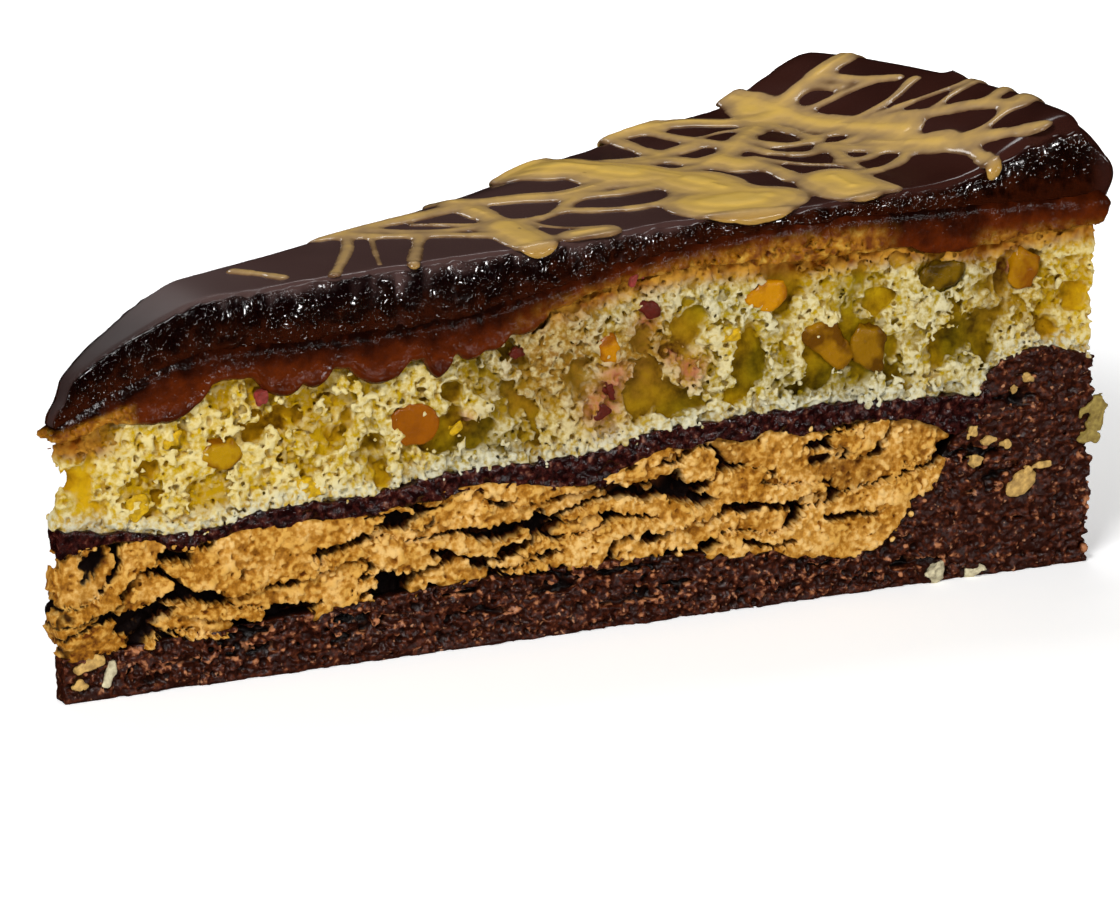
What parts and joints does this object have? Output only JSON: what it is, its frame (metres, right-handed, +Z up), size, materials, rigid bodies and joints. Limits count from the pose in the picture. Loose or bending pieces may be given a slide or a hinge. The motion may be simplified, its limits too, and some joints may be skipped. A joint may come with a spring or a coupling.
{
  "type": "slice of layer cake",
  "caption": "Wedge of chocolate layer cake: crumb base, flaky pastry filling, pistachio sponge with nut pieces, brown ganache and a dark glaze drizzled with pistachio cream.",
  "frame": {"origin": "middle of the slice's bounding box, on the plate under the base", "axes": "+X from the tip to the rim, +Z up, the cut face with the dripping ganache that faces the viewer at -Y"},
  "size_m": [0.1326, 0.0582, 0.0562],
  "materials": {
    "cocoa_crumb": "dark brown moist crumb, matt",
    "flaky_pastry": "toasted shredded pastry in pistachio paste, matt, flaky",
    "dark_ganache": "dark ganache, moist sheen",
    "pistachio_sponge": "pale green-yellow open crumb, matt",
    "milk_ganache": "reddish brown ganache, wet sheen",
    "dark_glaze": "dark chocolate glaze, soft gloss on top, wet where it is cut",
    "pistachio_cream": "khaki pistachio cream drizzle, glossy",
    "pistachio_nut": "roasted pistachio pieces, yellow, amber and olive",
    "crumbs": "loose cake crumbs, pale and dark, matt"
  },
  "bodies": {
    "root": {"cocoa_base": "cocoa_crumb", "kadayif_filling": "flaky_pastry", "dark_ganache": "dark_ganache", "pistachio_sponge": "pistachio_sponge", "milk_ganache": "milk_ganache", "chocolate_glaze": "dark_glaze", "nut_near_1": "pistachio_nut", "nut_near_2": "pistachio_nut", "nut_near_3": "pistachio_nut", "nut_near_4": "pistachio_nut", "nut_near_5": "pistachio_nut", "nut_near_6": "pistachio_nut", "nut_near_7": "pistachio_nut", "nut_near_8": "pistachio_nut", "nut_far_1": "pistachio_nut", "nut_far_2": "pistachio_nut", "nut_far_3": "pistachio_nut", "nut_far_4": "pistachio_nut", "nut_far_5": "pistachio_nut", "nut_far_6": "pistachio_nut"}
  },
  "joints": []
}
